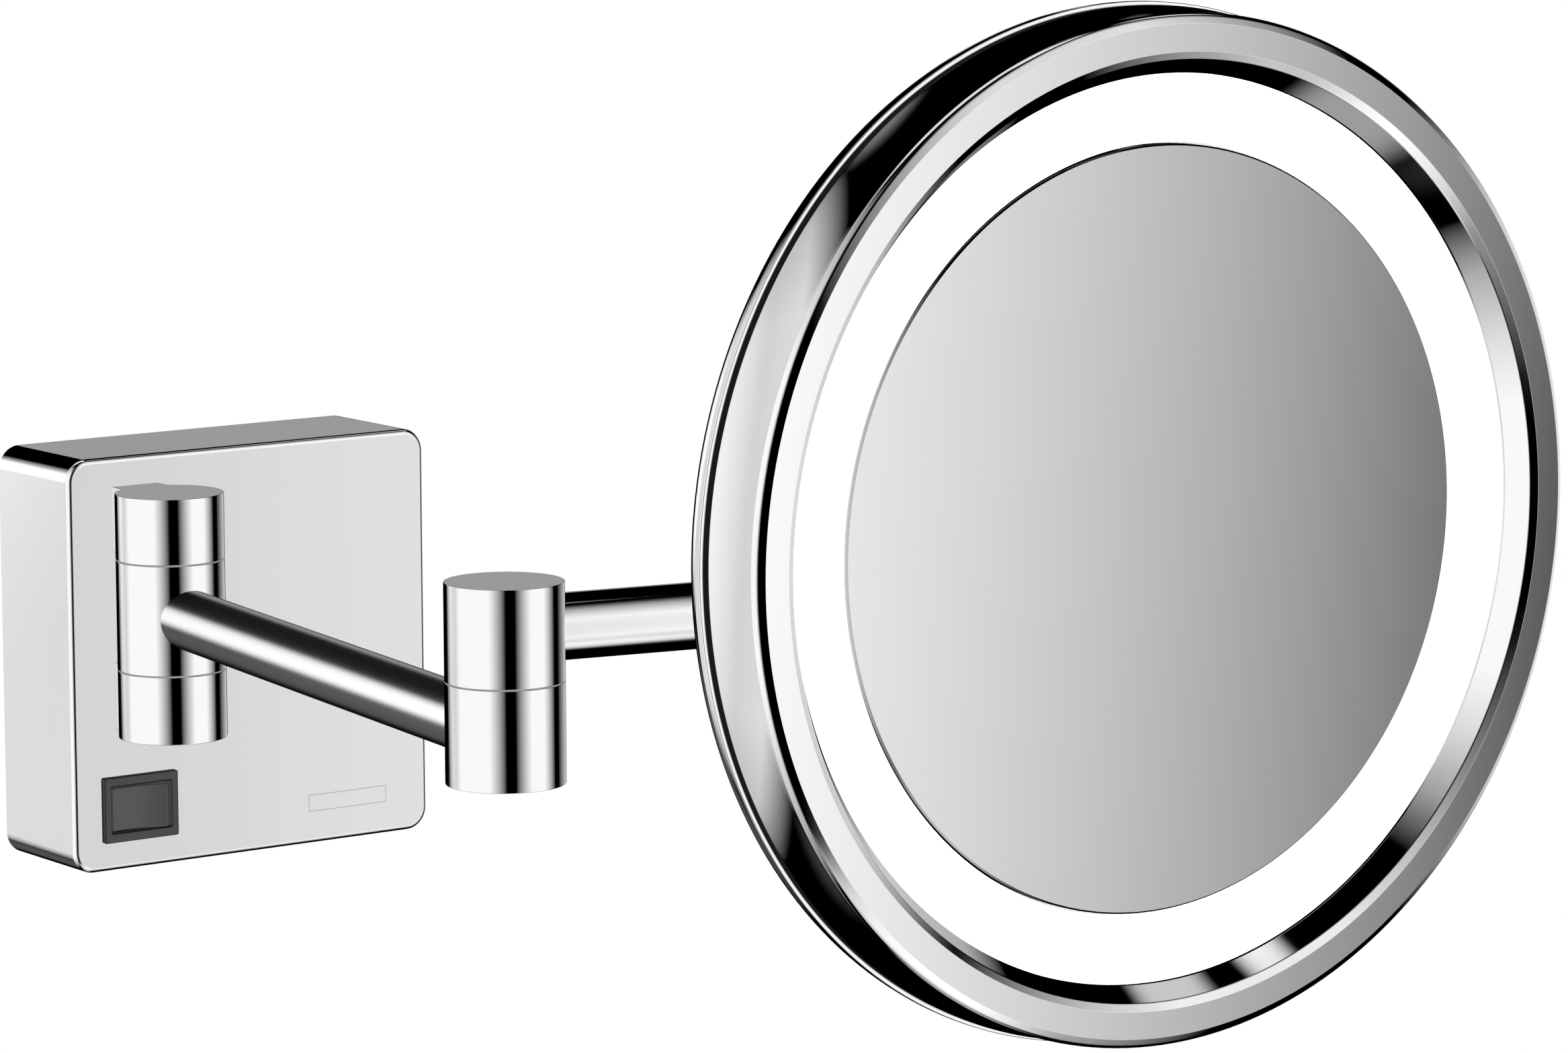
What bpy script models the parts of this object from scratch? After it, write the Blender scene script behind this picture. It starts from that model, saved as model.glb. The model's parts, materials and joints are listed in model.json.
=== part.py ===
"""Extendable shaving mirror for a bathroom wall.

A square wall plate carries a three-part hinge, two tubular arms joined by a barrel elbow, and a round
mirror with a light ring round the glass. Metres, +Z up. The wall is the plane y = 0, the plate's centre
is the origin, and the mirror faces -Y. Every moving body hangs under an empty on its own joint axis.
"""

import math

import bmesh
import bpy
from mathutils import Matrix, Vector

# Driving dimensions
GAP = 0.0003  # between pieces that touch
RUNNING_GAP = 0.00008  # pin in a bore that turns on it

PLATE_SIZE = 0.100
PLATE_DEPTH = 0.0333
PLATE_CORNER = 0.0055
PLATE_FILLET = 0.0014
PLATE_WALL = 0.0020

BARREL_R = 0.0129
WASHER_R = 0.0088
WASHER_T = 0.0005
RECESS_R = 0.0092  # pocket in a barrel's end that holds the washer
RECESS_DEPTH = 0.0008
JOINT_HALF = 0.00015  # half of the parting line between two barrels
PIN_R = 0.0040
PIN_BORE_R = 0.0022
FIXED_BORE_R = PIN_R + GAP
HUB_BORE_R = PIN_R + RUNNING_GAP

TUBE_R = 0.00725
TUBE_WALL = 0.0012
SOCKET_START = 0.0080  # from the barrel's axis to the bottom of the arm's socket
WIRE_HOLE_R = 0.0016
LEAD_R = 0.0012

WALL_HINGE_X = -0.0320
WALL_HINGE_OUT = 0.0164  # hinge axis in front of the plate
WALL_HINGE_TOP = 0.0430
WALL_JOINT_HIGH = 0.0272
WALL_JOINT_LOW = 0.0008
WALL_HINGE_BOTTOM = -0.0155
LINK_WIDTH = 0.0127

INNER_ARM_LENGTH = 0.1818
INNER_ARM_ANGLE = math.radians(7.75)  # to the left of straight out
INNER_ARM_Z = 0.0140
ELBOW_BOTTOM = 0.0034
ELBOW_JOINT = 0.0254
ELBOW_TOP = 0.0468

OUTER_ARM_LENGTH = 0.1195
OUTER_ARM_ANGLE = math.radians(10.4)  # forward of the wall's direction
OUTER_ARM_Z = 0.0361
NECK_TOP = 0.0682

HEAD_Z = 0.0556
HEAD_OUT = 0.0547  # rim plane of the light ring in front of the neck's axis
TILT_BACK = 0.0335  # tilt axis behind that plane
FORK_WIDTH = 0.0146
KNUCKLE_WIDTH = 0.0070
TILT_R = 0.0045
TILT_PIN_R = 0.0020

BEZEL_R = 0.1105
FRONT = 0.0055  # bezel's front face, in front of the rim plane
BEZEL_BACK = -0.0105
BEZEL_BACK_R = 0.1114  # the side flares towards the back
LIGHT_R = 0.0976
GLASS_R = 0.0825
GLASS_T = 0.0030
GLASS_EDGE = -0.0020
SHELL_R = 0.1120
SHELL_FRONT = -0.0125
SHELL_BACK = -0.0245
SPIGOT_R = 0.1072
CARRIER_FLOOR = -0.0112

SWITCH_X = -0.03255
SWITCH_Z = -0.0349
SWITCH_W = 0.0203
SWITCH_H = 0.0159
SWITCH_PROUD = 0.0020
PADDLE_W = 0.0146
PADDLE_H = 0.0105
PADDLE_PIVOT = 0.0036  # rocker's pivot behind the plate's face
PADDLE_TILT = math.radians(7)

HEAD_SEGMENTS = 56
INSIDE_SEGMENTS = 36
BARREL_SEGMENTS = 32
TUBE_SEGMENTS = 24
SMALL_SEGMENTS = 16
LED_COUNT = 24

# Places worked out from the dimensions above
WALL_AXIS = Vector((WALL_HINGE_X, -PLATE_DEPTH - WALL_HINGE_OUT, 0))
INNER_DIR = Vector((-math.sin(INNER_ARM_ANGLE), -math.cos(INNER_ARM_ANGLE), 0))
ELBOW_AXIS = WALL_AXIS + INNER_DIR * INNER_ARM_LENGTH
OUTER_DIR = Vector((math.cos(OUTER_ARM_ANGLE), -math.sin(OUTER_ARM_ANGLE), 0))
NECK_AXIS = ELBOW_AXIS + OUTER_DIR * OUTER_ARM_LENGTH
FRONT_DIR = Vector((0, -1, 0))
HEAD_CENTRE = NECK_AXIS + FRONT_DIR * HEAD_OUT + Vector((0, 0, HEAD_Z))
TILT_AXIS = HEAD_CENTRE - FRONT_DIR * TILT_BACK
SWITCH_PIVOT = Vector((SWITCH_X, -PLATE_DEPTH + PADDLE_PIVOT, SWITCH_Z))
UP = Vector((0, 0, 1))

frames = {}


def clear_scene():
    for obj in list(bpy.data.objects):
        bpy.data.objects.remove(obj, do_unlink=True)


def material(name, colour, roughness, metallic):
    mat = bpy.data.materials.new(name)
    mat.use_nodes = True
    shader = mat.node_tree.nodes["Principled BSDF"]
    shader.inputs["Base Color"].default_value = (*colour, 1)
    shader.inputs["Roughness"].default_value = roughness
    shader.inputs["Metallic"].default_value = metallic
    return mat


def chrome(name):
    return material(name, (0.90, 0.90, 0.91), 0.06, 1.0)


def steel(name):
    return material(name, (0.62, 0.62, 0.63), 0.32, 1.0)


def plastic(name, shade, roughness=0.4):
    return material(name, (shade, shade, shade), roughness, 0.0)


def add_frame(name, place, parent=None):
    """An empty on a joint's axis, which carries the pieces that the joint moves."""
    empty = bpy.data.objects.new(name, None)
    empty.empty_display_size = 0.02
    bpy.context.collection.objects.link(empty)
    frames[name] = (empty, place)
    if parent:
        empty.parent = frames[parent][0]
        place = place - frames[parent][1]
    empty.location = place


def make_piece(name, verts, faces, mat, place, frame, axis=UP, smooth=True):
    mesh = bpy.data.meshes.new(name)
    mesh.from_pydata(verts, [], faces)
    bm = bmesh.new()
    bm.from_mesh(mesh)
    bmesh.ops.recalc_face_normals(bm, faces=bm.faces)
    bm.to_mesh(mesh)
    bm.free()
    mesh.update()
    obj = bpy.data.objects.new(name, mesh)
    bpy.context.collection.objects.link(obj)
    if smooth:
        mesh.shade_smooth()
        mesh.set_sharp_from_angle(angle=math.radians(35))
    if mat:
        mesh.materials.append(mat)
    empty, origin = frames[frame]
    obj.parent = empty
    obj.location = place - origin
    obj.rotation_euler = UP.rotation_difference(axis).to_euler()
    return obj


def lathe(name, profile, segments, mat, place, frame, axis=UP):
    """Turns (radius, height) points about the axis. A profile that starts and ends on the axis is a
    chain, and any other one is a closed loop."""
    solid_core = profile[0][0] == 0
    ring_points = [p for p in profile if p[0] > 0]
    verts = []
    for r, h in ring_points:
        for k in range(segments):
            angle = 2 * math.pi * k / segments
            verts.append((r * math.cos(angle), r * math.sin(angle), h))
    rows = [range(i * segments, (i + 1) * segments) for i in range(len(ring_points))]
    pairs = list(zip(rows, rows[1:]))
    faces = []
    if solid_core:
        faces.append(tuple(rows[0]))
        faces.append(tuple(rows[-1]))
    else:
        pairs.append((rows[-1], rows[0]))
    for low, high in pairs:
        for k in range(segments):
            m = (k + 1) % segments
            faces.append((low[k], low[m], high[m], high[k]))
    return make_piece(name, verts, faces, mat, place, frame, axis)


def prism(name, outline, z0, z1, mat, place, frame, axis=UP, smooth=True):
    """Extrudes an outline of (x, y) points between two heights."""
    count = len(outline)
    verts = [(x, y, z0) for x, y in outline] + [(x, y, z1) for x, y in outline]
    faces = [tuple(range(count)), tuple(range(count, 2 * count))]
    for k in range(count):
        m = (k + 1) % count
        faces.append((k, m, count + m, count + k))
    return make_piece(name, verts, faces, mat, place, frame, axis, smooth)


def rounded_rect(width, height, corner, y, steps=5):
    """A loop of points in a plane parallel to the wall."""
    loop = []
    for quarter in range(4):
        sx = 1 if quarter in (0, 3) else -1
        sz = 1 if quarter in (0, 1) else -1
        cx = sx * (width / 2 - corner)
        cz = sz * (height / 2 - corner)
        for k in range(steps + 1):
            angle = math.pi / 2 * (quarter + k / steps)
            loop.append((cx + corner * math.cos(angle), y, cz + corner * math.sin(angle)))
    return loop


def loft(name, loops, mat, place, frame):
    """Skins a run of loops with equal counts, and closes both ends."""
    count = len(loops[0])
    verts = [point for loop in loops for point in loop]
    faces = [tuple(range(count)), tuple(range(len(verts) - count, len(verts)))]
    for i in range(len(loops) - 1):
        for k in range(count):
            m = (k + 1) % count
            faces.append((i * count + k, i * count + m, (i + 1) * count + m, (i + 1) * count + k))
    return make_piece(name, verts, faces, mat, place, frame)


def box_outline(width, depth):
    x = width / 2
    y = depth / 2
    return [(-x, -y), (x, -y), (x, y), (-x, y)]


def circle(radius, segments, x=0.0, y=0.0):
    angles = [2 * math.pi * k / segments for k in range(segments)]
    return [(x + radius * math.cos(a), y + radius * math.sin(a)) for a in angles]


def arc(cx, cy, radius, start, end, steps):
    """Points of an arc between two angles in degrees."""
    points = []
    for k in range(steps + 1):
        angle = math.radians(start + (end - start) * k / steps)
        points.append((cx + radius * math.cos(angle), cy + radius * math.sin(angle)))
    return points


def combine(obj, tool, operation):
    """Cuts or joins with a hidden tool object."""
    tool.hide_render = True
    tool.display_type = "WIRE"
    mod = obj.modifiers.new(tool.name, "BOOLEAN")
    mod.operation = operation
    mod.solver = "EXACT"
    mod.object = tool


def drill(obj, radius, place, axis, start, end, frame, segments=SMALL_SEGMENTS):
    name = f"cut_{obj.name}_{len(obj.modifiers)}"
    tool = prism(name, circle(radius, segments), start, end, None, place, frame, axis)
    combine(obj, tool, "DIFFERENCE")


def screw(name, place, axis, head_r, shank_r, length, frame):
    """A pan-head screw whose head sits in front of its place and whose shank runs behind it."""
    head_h = head_r * 0.7
    profile = [
        (0, -length),
        (shank_r * 0.7, -length),
        (shank_r, -length + shank_r * 0.6),
        (shank_r, 0),
        (head_r, 0),
        (head_r, head_h * 0.5),
        (head_r * 0.75, head_h),
        (head_r * 0.4, head_h),
        (head_r * 0.4, head_h * 0.4),
        (0, head_h * 0.4),
    ]
    return lathe(name, profile, 12, steel(name), place, frame, axis)


def plug(name, place, axis, radius, height, frame):
    """A threaded plug with a hexagon recess in its outer end, at the place given."""
    obj = prism(name, circle(radius, TUBE_SEGMENTS), 0, height, steel(name), place, frame, -axis)
    drill(obj, radius * 0.55, place, -axis, -height * 0.2, height * 0.6, frame, segments=6)
    return obj


# Wall plate

def wall_bracket():
    thick = 0.0020
    size = PLATE_SIZE - 0.012
    loops = [rounded_rect(size, size, 0.004, y) for y in (0.0, -thick)]
    obj = loft("wall_bracket", loops, steel("wall_bracket"), Vector(), "wall_mount")
    for x in (-0.033, 0.033):
        for z in (-0.033, 0.033):
            drill(obj, 0.0024, Vector((x, 0, z)), FRONT_DIR, -0.001, 0.003, "wall_mount")
    drill(obj, 0.0065, Vector((0.025, 0, 0.012)), FRONT_DIR, -0.001, 0.003, "wall_mount")
    tab = prism(
        "tool_bracket_tab", box_outline(0.016, 0.0135), -0.0425, -0.0405, None,
        Vector((0, -0.00775, 0)), "wall_mount", smooth=False,
    )
    combine(obj, tab, "UNION")
    return obj


def plate_cover():
    """A box open towards the wall, with a rounded front edge."""
    inner = PLATE_SIZE - 2 * PLATE_WALL
    corner = PLATE_CORNER - PLATE_WALL
    loops = [
        rounded_rect(inner, inner, corner, -PLATE_DEPTH + PLATE_WALL),
        rounded_rect(inner, inner, corner, 0.0),
        rounded_rect(PLATE_SIZE, PLATE_SIZE, PLATE_CORNER, 0.0),
    ]
    for k in range(4):
        angle = math.pi / 2 * k / 3
        inset = PLATE_FILLET * (1 - math.cos(angle))
        y = -PLATE_DEPTH + PLATE_FILLET * (1 - math.sin(angle))
        size = PLATE_SIZE - 2 * inset
        loops.append(rounded_rect(size, size, PLATE_CORNER - inset, y))
    obj = loft("plate_cover", loops, chrome("plate_cover"), Vector(), "wall_mount")

    outline = box_outline(SWITCH_W - 0.0011, SWITCH_H - 0.0025)
    place = Vector((SWITCH_X, -PLATE_DEPTH + 0.004, SWITCH_Z))
    window = prism("cut_switch_window", outline, 0.0, 0.006, None, place, "wall_mount", FRONT_DIR, False)
    combine(obj, window, "DIFFERENCE")
    for z in link_screw_heights():
        place = Vector((WALL_HINGE_X, -PLATE_DEPTH, z))
        drill(obj, 0.0018, place, FRONT_DIR, -0.004, 0.002, "wall_mount")
    grub = Vector((0, -0.0090, -PLATE_SIZE / 2))
    drill(obj, 0.0023, grub, UP, -0.001, 0.003, "wall_mount")
    return obj


def link_screw_heights():
    upper = (WALL_HINGE_TOP + WALL_JOINT_HIGH) / 2
    lower = (WALL_HINGE_BOTTOM + WALL_JOINT_LOW) / 2
    return [z + dz for z in (upper, lower) for dz in (0.0038, -0.0038)]


def link_screws():
    place = Vector((WALL_HINGE_X, -PLATE_DEPTH + PLATE_WALL + GAP, 0))
    for k, z in enumerate(link_screw_heights()):
        place.z = z
        screw(f"hinge_screw_{k + 1}", place.copy(), -FRONT_DIR, 0.0030, 0.0015, 0.0080, "wall_mount")


def cover_grub_screw():
    place = Vector((0, -0.0090, -PLATE_SIZE / 2 + 0.0002))
    plug("cover_grub_screw", place, -UP, 0.0020, 0.0070, "wall_mount")


def hinge_lug(name, bottom, top, through):
    """An end of the wall hinge: a barrel slice with a flat-sided link back to the plate."""
    half = LINK_WIDTH / 2
    reach = WALL_HINGE_OUT - GAP
    start = math.degrees(math.acos(half / BARREL_R))
    outline = [(half, reach), (-half, reach)]
    outline += arc(0, 0, BARREL_R, 180 - start, 360 + start, BARREL_SEGMENTS - 6)
    obj = prism(name, outline, bottom, top, chrome(name), WALL_AXIS, "wall_mount")
    low = bottom - 0.001
    high = top + 0.001 if through else top - 0.0025
    drill(obj, FIXED_BORE_R, WALL_AXIS, UP, low, high, "wall_mount", TUBE_SEGMENTS)
    for z in link_screw_heights():
        if bottom < z < top:
            place = Vector((WALL_HINGE_X, -PLATE_DEPTH, z))
            drill(obj, 0.0018, place, FRONT_DIR, -0.001, 0.0070, "wall_mount")
    return obj


def hollow_pin(name, axis_place, bottom, top, frame):
    profile = [(PIN_BORE_R, bottom), (PIN_R, bottom), (PIN_R, top), (PIN_BORE_R, top)]
    lathe(name, profile, TUBE_SEGMENTS, steel(name), axis_place, frame)


def washer(name, axis_place, joint, frame, side=-1):
    """A washer in the pocket below a joint, or above it with side = 1."""
    near = joint + side * (GAP - JOINT_HALF)
    far = near + side * WASHER_T
    low, high = sorted((near, far))
    profile = [(FIXED_BORE_R, low), (WASHER_R, low), (WASHER_R, high), (FIXED_BORE_R, high)]
    lathe(name, profile, TUBE_SEGMENTS, plastic(name, 0.55), axis_place, frame)


def wall_hinge():
    hinge_lug("hinge_lug_upper", WALL_JOINT_HIGH + JOINT_HALF, WALL_HINGE_TOP, through=False)
    hinge_lug("hinge_lug_lower", WALL_HINGE_BOTTOM, WALL_JOINT_LOW - JOINT_HALF, through=True)
    plug_top = WALL_HINGE_BOTTOM + 0.0030
    hollow_pin("wall_hinge_pin", WALL_AXIS, plug_top + GAP, WALL_HINGE_TOP - 0.0028, "wall_mount")
    place = WALL_AXIS + Vector((0, 0, WALL_HINGE_BOTTOM + 0.0003))
    plug("wall_hinge_plug", place, -UP, PIN_R, 0.0027, "wall_mount")
    washer("hinge_washer_upper", WALL_AXIS, WALL_JOINT_HIGH, "wall_mount")
    washer("hinge_washer_lower", WALL_AXIS, WALL_JOINT_LOW, "wall_mount", side=1)


# Rocker switch and electrical parts inside the plate

def switch_body():
    """A snap-in housing: flange on the plate, body through its window, pocket for the rocker."""
    face = -PLATE_DEPTH
    body_w = SWITCH_W - 0.0017
    body_h = SWITCH_H - 0.0031
    pocket_w = SWITCH_W - 0.0038
    pocket_h = PADDLE_H + 0.0008
    front = face - SWITCH_PROUD
    loops = [
        rounded_rect(body_w, body_h, 0.0004, face + 0.0160, 2),
        rounded_rect(body_w, body_h, 0.0004, face - GAP, 2),
        rounded_rect(SWITCH_W, SWITCH_H, 0.0006, face - GAP, 2),
        rounded_rect(SWITCH_W, SWITCH_H, 0.0006, front + 0.0004, 2),
        rounded_rect(SWITCH_W - 0.0008, SWITCH_H - 0.0008, 0.0005, front, 2),
        rounded_rect(pocket_w, pocket_h, 0.0003, front, 2),
        rounded_rect(pocket_w, pocket_h, 0.0003, face + 0.0090, 2),
    ]
    place = Vector((SWITCH_X, 0, SWITCH_Z))
    obj = loft("switch_body", loops, plastic("switch_body", 0.05, 0.35), place, "wall_mount")
    drill(obj, 0.0011, SWITCH_PIVOT, UP, -0.0061, 0.0061, "wall_mount", 12)
    return obj


def switch_rocker():
    """The paddle, resting with its right-hand side out."""
    half = PADDLE_W / 2
    crown = 0.0052 + 0.0009  # front edge ahead of the pivot
    outline = [
        (-half, -crown),
        (0, -crown + 0.0009),
        (half, -crown),
        (half, -0.0022),
        (0.0022, 0.0016),
        (-0.0022, 0.0016),
        (-half, -0.0022),
    ]
    turn = Matrix.Rotation(-PADDLE_TILT, 2)
    outline = [tuple(turn @ Vector(p)) for p in outline]
    h = PADDLE_H / 2
    mat = plastic("switch_rocker", 0.07, 0.3)
    obj = prism("switch_rocker", outline, -h, h, mat, SWITCH_PIVOT, "rocker", smooth=False)
    stub = prism("tool_rocker_stubs", circle(0.0009, 12), -0.0060, 0.0060, None, SWITCH_PIVOT, "rocker")
    combine(obj, stub, "UNION")
    return obj


def switch_terminals():
    for side, x in (("left", -0.0050), ("right", 0.0050)):
        name = f"switch_terminal_{side}"
        place = Vector((SWITCH_X + x, -PLATE_DEPTH + 0.0160 + GAP, SWITCH_Z))
        outline = box_outline(0.0008, 0.0048)
        mat = material(name, (0.78, 0.60, 0.32), 0.3, 1.0)
        prism(name, outline, 0.0, 0.0070, mat, place, "wall_mount", -FRONT_DIR, False)


def led_driver():
    loops = [
        rounded_rect(0.0400, 0.0240, 0.0020, -0.0045, 3),
        rounded_rect(0.0400, 0.0240, 0.0020, -0.0200, 3),
        rounded_rect(0.0380, 0.0220, 0.0015, -0.0210, 3),
    ]
    loft("led_driver", loops, plastic("led_driver", 0.75), Vector((0.0235, 0, -0.0200)), "wall_mount")


def terminal_block():
    loops = [rounded_rect(0.0240, 0.0100, 0.0006, y, 1) for y in (-0.0045, -0.0150)]
    place = Vector((0.0240, 0, 0.0300))
    obj = loft("terminal_block", loops, plastic("terminal_block", 0.8), place, "wall_mount")
    for x in (-0.0075, 0.0, 0.0075):
        drill(obj, 0.0018, place + Vector((x, -0.0100, -0.0050)), UP, -0.001, 0.0060, "wall_mount", 10)


# Arms

def hub(name, axis_place, bottom, top, frame, sockets, pockets=()):
    """A barrel that an arm's tube is fixed in, with its end closed if it has no washer pocket.

    Each socket is a direction, a height and a tube radius. A pocket is a "top" or a "bottom".
    """
    wall = [(BARREL_R, bottom), (BARREL_R, top)]
    if not pockets:
        roof = top - 0.0030
        profile = [(0, roof), (HUB_BORE_R, roof), (HUB_BORE_R, bottom)] + wall + [(0, top)]
    else:
        low = (HUB_BORE_R, bottom)
        high = (HUB_BORE_R, top)
        if "bottom" in pockets:
            floor = bottom + RECESS_DEPTH
            low = (HUB_BORE_R, floor)
            wall = [(RECESS_R, floor), (RECESS_R, bottom)] + wall
        if "top" in pockets:
            floor = top - RECESS_DEPTH
            high = (HUB_BORE_R, floor)
            wall = wall + [(RECESS_R, top), (RECESS_R, floor)]
        profile = [low] + wall + [high]
    obj = lathe(name, profile, BARREL_SEGMENTS, chrome(name), axis_place, frame)
    for direction, height, radius in sockets:
        place = axis_place + Vector((0, 0, height))
        drill(obj, radius + GAP, place, direction, SOCKET_START, BARREL_R + 0.003, frame, TUBE_SEGMENTS)
        drill(obj, WIRE_HOLE_R, place, direction, 0.0, SOCKET_START + 0.001, frame, 12)
    return obj


def arm_tube(name, start, direction, length, height, frame):
    near = SOCKET_START + GAP
    far = length - near
    inner = TUBE_R - TUBE_WALL
    profile = [(inner, near), (TUBE_R, near), (TUBE_R, far), (inner, far)]
    place = start + Vector((0, 0, height))
    lathe(name, profile, TUBE_SEGMENTS, chrome(name), place, frame, direction)


def arm_lead(name, start, direction, length, height, frame):
    near = SOCKET_START + 0.001
    place = start + Vector((0, 0, height))
    prism(name, circle(LEAD_R, 12), near, length - near, plastic(name, 0.8), place, frame, direction)


def inner_arm():
    frame = "wall_swivel"
    bottom = WALL_JOINT_LOW + JOINT_HALF
    top = WALL_JOINT_HIGH - JOINT_HALF
    socket = (INNER_DIR, INNER_ARM_Z, TUBE_R)
    hub("inner_arm_hub", WALL_AXIS, bottom, top, frame, [socket], ("bottom", "top"))
    arm_tube("inner_arm_tube", WALL_AXIS, INNER_DIR, INNER_ARM_LENGTH, INNER_ARM_Z, frame)
    arm_lead("inner_arm_lead", WALL_AXIS, INNER_DIR, INNER_ARM_LENGTH, INNER_ARM_Z, frame)
    top = ELBOW_JOINT - JOINT_HALF
    socket = (-INNER_DIR, INNER_ARM_Z, TUBE_R)
    hub("elbow_lower_hub", ELBOW_AXIS, ELBOW_BOTTOM, top, frame, [socket], ("top",))
    pivot("elbow", ELBOW_AXIS, ELBOW_BOTTOM, ELBOW_JOINT, ELBOW_TOP, frame)


def pivot(prefix, axis_place, bottom, joint, top, frame):
    """The pin, washer and bottom plug that a two-part barrel turns on."""
    hollow_pin(f"{prefix}_pin", axis_place, bottom + 0.0035, top - 0.0034, frame)
    washer(f"{prefix}_washer", axis_place, joint, frame)
    place = axis_place + Vector((0, 0, bottom + 0.0003))
    plug(f"{prefix}_plug", place, -UP, PIN_R - 0.0001, 0.0028, frame)


def outer_arm():
    frame = "elbow_swivel"
    bottom = ELBOW_JOINT + JOINT_HALF
    hub("elbow_upper_hub", ELBOW_AXIS, bottom, ELBOW_TOP, frame, [(OUTER_DIR, OUTER_ARM_Z, TUBE_R)])
    arm_tube("outer_arm_tube", ELBOW_AXIS, OUTER_DIR, OUTER_ARM_LENGTH, OUTER_ARM_Z, frame)
    arm_lead("outer_arm_lead", ELBOW_AXIS, OUTER_DIR, OUTER_ARM_LENGTH, OUTER_ARM_Z, frame)
    top = ELBOW_TOP - JOINT_HALF
    socket = (-OUTER_DIR, OUTER_ARM_Z, TUBE_R)
    hub("neck_lower_hub", NECK_AXIS, ELBOW_JOINT, top, frame, [socket], ("top",))
    pivot("neck", NECK_AXIS, ELBOW_JOINT, ELBOW_TOP, NECK_TOP, frame)


# Neck and tilt joint

def neck():
    frame = "head_swivel"
    shank_r = 0.0042
    bottom = ELBOW_TOP + JOINT_HALF
    hub("neck_upper_hub", NECK_AXIS, bottom, NECK_TOP, frame, [(FRONT_DIR, HEAD_Z, shank_r)])
    tilt_fork(shank_r)
    half = FORK_WIDTH / 2
    x_dir = Vector((1, 0, 0))
    outline = circle(TILT_PIN_R, SMALL_SEGMENTS)
    prism("tilt_pin", outline, -half, half, steel("tilt_pin"), TILT_AXIS, frame, x_dir)
    for side, x in (("left", -1), ("right", 1)):
        name = f"tilt_washer_{side}"
        near = KNUCKLE_WIDTH / 2 + 0.0002
        bore = TILT_PIN_R + GAP
        profile = [(bore, near), (TILT_R, near), (TILT_R, near + 0.0004), (bore, near + 0.0004)]
        lathe(name, profile, TUBE_SEGMENTS, plastic(name, 0.1), TILT_AXIS, frame, x_dir * x)


def side_profile(back):
    """A round end about the tilt axis that runs straight back, drawn with x up and y backwards."""
    return arc(0, 0, TILT_R, 180, 360, 14) + [(TILT_R, back), (-TILT_R, back)]


def tilt_fork(shank_r):
    """Two cheeks either side of the knuckle, with a shank that is fixed in the neck."""
    frame = "head_swivel"
    back = HEAD_OUT - TILT_BACK - BARREL_R - GAP
    half = FORK_WIDTH / 2
    outline = [(y, x) for x, y in side_profile(back)]
    across = Vector((1, 0, 0))
    obj = cross_prism("tilt_fork", outline, half, chrome("tilt_fork"), frame)
    slot_half = KNUCKLE_WIDTH / 2 + 0.0008
    slot = cross_prism("cut_fork_slot", slot_outline(back - 0.0026), slot_half, None, frame)
    combine(obj, slot, "DIFFERENCE")
    shank_end = HEAD_OUT - TILT_BACK - SOCKET_START - GAP
    shank = prism(
        "tool_fork_shank", circle(shank_r, TUBE_SEGMENTS), back - 0.001, shank_end, None,
        TILT_AXIS, frame, -FRONT_DIR,
    )
    combine(obj, shank, "UNION")
    drill(obj, TILT_PIN_R + GAP, TILT_AXIS, across, -half - 0.001, half + 0.001, frame)
    return obj


def slot_outline(depth):
    reach = TILT_R + 0.002
    return [(-reach, -reach), (depth, -reach), (depth, reach), (-reach, reach)]


def cross_prism(name, outline, half_width, mat, frame):
    """Extrudes an outline of (back, up) points either side of the tilt axis."""
    count = len(outline)
    verts = [(x, y, z) for x in (-half_width, half_width) for y, z in outline]
    faces = [tuple(range(count)), tuple(range(count, 2 * count))]
    for k in range(count):
        m = (k + 1) % count
        faces.append((k, m, count + m, count + k))
    return make_piece(name, verts, faces, mat, TILT_AXIS, frame)


# Mirror head: profiles are (radius, distance in front of the rim plane)

def head_lathe(name, profile, mat, segments=HEAD_SEGMENTS):
    return lathe(name, profile, segments, mat, HEAD_CENTRE, "head_tilt", FRONT_DIR)


def tilt_knuckle():
    """A round foot on the shell with a knuckle that turns in the fork."""
    foot_top = SHELL_BACK - GAP
    foot_bottom = foot_top - 0.0025
    profile = [
        (0, foot_top),
        (0.0160, foot_top),
        (0.0160, foot_bottom + 0.0005),
        (0.0155, foot_bottom),
        (0, foot_bottom),
    ]
    obj = head_lathe("tilt_knuckle", profile, chrome("tilt_knuckle"), 32)
    reach = -(TILT_BACK + foot_bottom) - 0.0010
    outline = [(-y, x) for x, y in side_profile(-reach)]
    knuckle = cross_prism("tool_knuckle", outline, KNUCKLE_WIDTH / 2, None, "head_tilt")
    combine(obj, knuckle, "UNION")
    drill(obj, TILT_PIN_R + RUNNING_GAP, TILT_AXIS, Vector((1, 0, 0)), -0.010, 0.010, "head_tilt")
    for place in foot_screw_places():
        drill(obj, 0.0016, place, FRONT_DIR, -0.004, 0.002, "head_tilt", 12)
    return obj


def foot_screw_places():
    places = []
    for k in range(3):
        angle = math.radians(90 + 120 * k)
        offset = Vector((math.cos(angle), 0, math.sin(angle))) * 0.0120
        places.append(HEAD_CENTRE + offset - FRONT_DIR * (-SHELL_BACK + GAP))
    return places


def foot_screws():
    for k, place in enumerate(foot_screw_places()):
        seat = place - FRONT_DIR * (0.0025 + GAP)
        screw(f"foot_screw_{k + 1}", seat, -FRONT_DIR, 0.0023, 0.0012, 0.0060, "head_tilt")


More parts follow.
